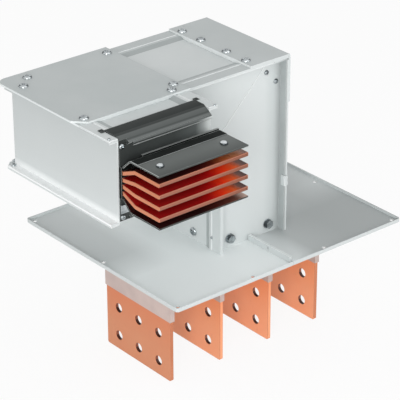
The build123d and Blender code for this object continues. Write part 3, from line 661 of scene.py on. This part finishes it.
def hexHead(name, size):
    # hexagon with a raised crown and a shallow dish in it
    clearSelection()
    radius = size["acrossFlats"] * mm / math.sqrt(3)
    rise = size["rise"] * mm
    bpy.ops.mesh.primitive_cylinder_add(vertices=6, radius=radius, depth=rise, location=(0, 0, rise / 2))
    head = bpy.context.object
    head.name = name
    bpy.ops.object.mode_set(mode="EDIT")
    selectFaces(lambda middle, normal: normal.z > 0.9)
    bpy.ops.mesh.inset(thickness=size["crown"] * mm)
    bpy.ops.transform.translate(value=(0, 0, size["crownRise"] * mm))
    bpy.ops.mesh.inset(thickness=size["dish"] * mm)
    bpy.ops.transform.translate(value=(0, 0, -size["dishDrop"] * mm))
    bpy.ops.object.mode_set(mode="OBJECT")
    bpy.ops.object.transform_apply(location=True, rotation=True, scale=True)
    crown = head.modifiers.new("crown", "BEVEL")
    crown.width = size["ease"] * mm
    crown.segments = 2
    bpy.ops.object.modifier_apply(modifier="crown")
    bpy.ops.object.shade_smooth_by_angle(angle=math.radians(size["smooth"]))
    return head


def washerRing(name, size):
    # flat ring: both ends of a cylinder inset, and the insets joined through it
    clearSelection()
    thick = size["thick"] * mm
    bpy.ops.mesh.primitive_cylinder_add(vertices=heads["sides"], radius=size["radius"] * mm, depth=thick,
                                        location=(0, 0, thick / 2))
    ring = bpy.context.object
    ring.name = name
    bpy.ops.object.mode_set(mode="EDIT")
    selectFaces(lambda middle, normal: abs(normal.z) > 0.9)
    bpy.ops.mesh.inset(thickness=(size["radius"] - size["hole"]) * mm)
    bpy.ops.mesh.bridge_edge_loops()
    bpy.ops.object.mode_set(mode="OBJECT")
    bpy.ops.object.transform_apply(location=True, rotation=True, scale=True)
    ease = ring.modifiers.new("ease", "BEVEL")
    ease.width = size["ease"] * mm
    ease.segments = 2
    bpy.ops.object.modifier_apply(modifier="ease")
    bpy.ops.object.shade_smooth_by_angle(angle=math.radians(size["smooth"]))
    return ring


def setRow(pattern, places, node, name, spin=17, step=41):
    # copies of one pattern on their seats, each turned on from the last, joined as one piece;
    # it stands for the node, if the solids have one
    copies = []
    for index, (place, outward) in enumerate(places):
        part = pattern.copy()
        part.data = pattern.data.copy()
        bpy.context.scene.collection.objects.link(part)
        part.rotation_mode = "QUATERNION"
        turn = Vector((0, 0, 1)).rotation_difference(Vector(outward))
        part.rotation_quaternion = turn @ Quaternion((0, 0, 1), math.radians(spin + step * index))
        part.location = [v * mm for v in place]
        copies.append(part)
    pick(copies)
    bpy.ops.object.join()
    row = bpy.context.object
    row.name = name
    bpy.ops.object.transform_apply(location=True, rotation=True, scale=True)
    slot = slotOf.get(node, "zinc")
    if node:
        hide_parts(node)
    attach(row, "root")
    dress(row, slot)
    return row


up, down, left, right, front = (0, 0, 1), (0, 0, -1), (-1, 0, 0), (1, 0, 0), (0, -1, 0)
sides = (-1, 1)
capTop, armTop, armMiddle = seats["capTop"], seats["armTop"], seats["armMiddle"]
pan = domedHead("panHead", heads["panHead"])
small = domedHead("smallHead", heads["smallHead"])
tiny = domedHead("tinyHead", heads["tinyHead"])
rivet = domedHead("rivetHead", heads["rivetHead"])
hexagon = hexHead("hexHead", heads["hexHead"])
washer = washerRing("washer", heads["washer"])

capScrews = setRow(pan, [((elbowX + x, y, capTop), up) for x, y in seats["capPlaces"]],
                   "elbow_cap_screws", "elbowCapScrews")
cornerScrews = setRow(pan, [((0, y, capTop), up) for y in seats["cornerRows"]]
                      + [((seats["cornerFace"], y, armMiddle), right) for y in seats["cornerRows"]],
                      "corner_cap_screws", "cornerCapScrews")
setRow(pan, [((seats["tabOut"] * side, y, seats["tabHeight"]), (side, 0, 0))
             for side in sides for y in seats["tabRows"]], "side_bolts", "sideBolts")
wallScrews = setRow(small, [((x, seats["wallOut"] * side, z), (0, side, 0))
                            for side in sides for x, z in seats["wallPlaces"]], "wall_screws", "wallScrews")
setRow(tiny, [((seats["edgeOut"] * side, y, seats["edgeHeight"]), (side, 0, 0))
              for side in sides for y in seats["edgeRows"]], "edge_screws", "edgeScrews")
seamX, seamY, seamZ = seats["seamPlace"]
setRow(small, [((seamX, side * seamY, seamZ), right) for side in sides], "seam_screws", "seamScrews")
setRow(tiny, [(place, up) for place in seats["mouthLip"]], None, "lipScrews")
setRow(small, [(place, up) for place in seats["lowerLip"]], "lip_bolts", "lipBolts")
setRow(small, [((*seats["mouthPlace"], armMiddle + side * seats["mouthRise"]), front) for side in sides],
       "mouth_bolts", "mouthBolts")
rivets = setRow(rivet, [((elbowX + x, seats["rivetY"], armMiddle + side * seats["rivetRise"]), (0, 0, side))
                        for side in sides for x in seats["rivetRows"]], "guard_rivets", "guardRivets")
boltSeats = [((x, seats["wallOut"] * side), (0, side, 0)) for side in sides for x in seats["baseRows"]]
baseBolts = setRow(hexagon, [((x, y + outward[1] * heads["washer"]["thick"], seats["baseHeight"]), outward)
                             for (x, y), outward in boltSeats], "base_bolts", "baseBolts")
setRow(washer, [((x, y, seats["baseHeight"]), outward) for (x, y), outward in boltSeats],
       "base_washers", "baseWashers")
for pattern in (pan, small, tiny, rivet, hexagon, washer):
    bpy.data.objects.remove(pattern)

# facets of the heads that the photograph shows dark, then light ones for the rest
# the dark facets are painted shade and reflection, the light ones a painted highlight
for screws in (capScrews, cornerScrews):
    repaint(screws, "zincShade", lambda middle, normal: normal.x * 0.6 + normal.y * 0.8 > -0.45)
repaint(wallScrews, "zincShade", lambda middle, normal: normal.x + normal.z > 0.2)
repaint(rivets, "zincShade", lambda middle, normal: abs(normal.z) < 0.75 or normal.x > 0.12)
repaint(baseBolts, "zincShade", lambda middle, normal: abs(normal.y) < 0.9 and normal.z > 0)
for screws in (capScrews, cornerScrews, rivets):
    repaint(screws, "zincLight", lambda middle, normal: True)
print("fasteners set")

# lips of the caps over the sheets' sunk panels, all in the lighter edge tone: a painted highlight
lips = {"deep": 3.0, "thick": 1.5, "half": 70.0, "slope": 10.0, "cornerX": -9, "lowX": (64, 67), "lowZ": 220,
        "elbowOut": 101}
under, wide, thick, out = armTop - lips["deep"], lips["half"], lips["thick"], lips["elbowOut"]
foldedStrip("cornerCapLip", (lips["cornerX"], -wide, under), (lips["cornerX"] + thick, wide, armTop),
            "housing_paint", down, lips["slope"])
foldedStrip("cornerCapLowLip", (lips["lowX"][0], -wide, lips["lowZ"]),
            (lips["lowX"][1], wide, lips["lowZ"] + thick), "housing_paint", left, lips["slope"])
foldedStrip("elbowCapLipInner", (elbowX + out - thick, -wide, under), (elbowX + out, wide, armTop),
            "cap_paint", down, lips["slope"])
foldedStrip("elbowCapLipFront", (elbowX - wide, -out, under), (elbowX + wide, -out + thick, armTop),
            "cap_paint", down, lips["slope"])
# light bead over the mitre of the walls; its near-white tone is a painted highlight
seam = {"x": -26.5, "z": 228, "long": 175.0, "wide": 0.9, "out": 84.3, "thick": 0.4, "turn": 45}
for side, name in ((-1, "mitreBeadFront"), (1, "mitreBeadBack")):
    bead = foldedStrip(name, (seam["x"] - seam["long"] / 2, -seam["thick"] / 2, -seam["wide"] / 2),
                       (seam["x"] + seam["long"] / 2, seam["thick"] / 2, seam["wide"] / 2), "housing_paint")
    bead.data.materials[0] = bead.data.materials[1] = variants["whiteBead"]
    pick([bead])
    bpy.ops.transform.rotate(value=math.radians(seam["turn"]), orient_axis="Y",
                             center_override=(seam["x"] * mm, 0, 0))
    bpy.ops.transform.translate(value=(0, side * (seam["out"] - seam["thick"] / 2) * mm, seam["z"] * mm))
    bpy.ops.object.transform_apply(location=True, rotation=True, scale=True)
# insulating strips on the rails' webs, the upper one as low as the photograph has it
strips = {"x": (-273, -133.7), "y": (-172.2, -168.5), "z": (("jointBarriers", 253.4, 261.6),
                                                            ("lowerBarrier", 194.6, 204.6))}
barriers = [foldedStrip(name, (strips["x"][0], strips["y"][0], low), (strips["x"][1], strips["y"][1], high),
                        "insulator") for name, low, high in strips["z"]]
pick(barriers)
bpy.ops.object.join()
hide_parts("joint_barriers")
print("lips and strips set")


# floor and backdrop, white to the camera and in what metal reflects
def looksStraight(tree):
    rays = tree.nodes.new("ShaderNodeLightPath")
    total = rays.outputs["Is Camera Ray"]
    for kind in ("Is Glossy Ray", "Is Transmission Ray"):
        add = tree.nodes.new("ShaderNodeMath")
        add.operation = "ADD"
        add.use_clamp = True
        tree.links.new(total, add.inputs[0])
        tree.links.new(rays.outputs[kind], add.inputs[1])
        total = add.outputs[0]
    return total


clearSelection()
bpy.ops.mesh.primitive_plane_add(size=studio["floorSize"], location=(0, 0, studio["floorLevel"]))
floor = bpy.context.object
floor.name = "floor"
floorRecipe = Recipe("floorWhite", Roughness=studio["floorRough"], Base_Color=studio["floorTone"])
glow = floorRecipe.tree.nodes.new("ShaderNodeEmission")
mixed = floorRecipe.tree.nodes.new("ShaderNodeMixShader")
output = next(n for n in floorRecipe.tree.nodes if n.type == "OUTPUT_MATERIAL")
floorRecipe.feed(mixed.inputs[0], Wire(floorRecipe, looksStraight(floorRecipe.tree)) * studio["floorGlow"])
floorRecipe.tree.links.new(floorRecipe.shader.outputs[0], mixed.inputs[1])
floorRecipe.tree.links.new(glow.outputs[0], mixed.inputs[2])
floorRecipe.tree.links.new(mixed.outputs[0], output.inputs["Surface"])
floor.data.materials.append(floorRecipe.material)

world = bpy.data.worlds.new("studioWorld")
bpy.context.scene.world = world
world.use_nodes = True
sky = world.node_tree
backdrop = next(n for n in sky.nodes if n.type == "BACKGROUND")
backdrop.inputs["Strength"].default_value = studio["world"]
backdrop.inputs["Color"].default_value = studio["white"]
whiteBack = sky.nodes.new("ShaderNodeBackground")
whiteBack.inputs["Color"].default_value = studio["white"]
either = sky.nodes.new("ShaderNodeMixShader")
skyOut = next(n for n in sky.nodes if n.type == "OUTPUT_WORLD")
sky.links.new(looksStraight(sky), either.inputs[0])
sky.links.new(backdrop.outputs[0], either.inputs[1])
sky.links.new(whiteBack.outputs[0], either.inputs[2])
sky.links.new(either.outputs[0], skyOut.inputs["Surface"])
print("floor and backdrop ready")
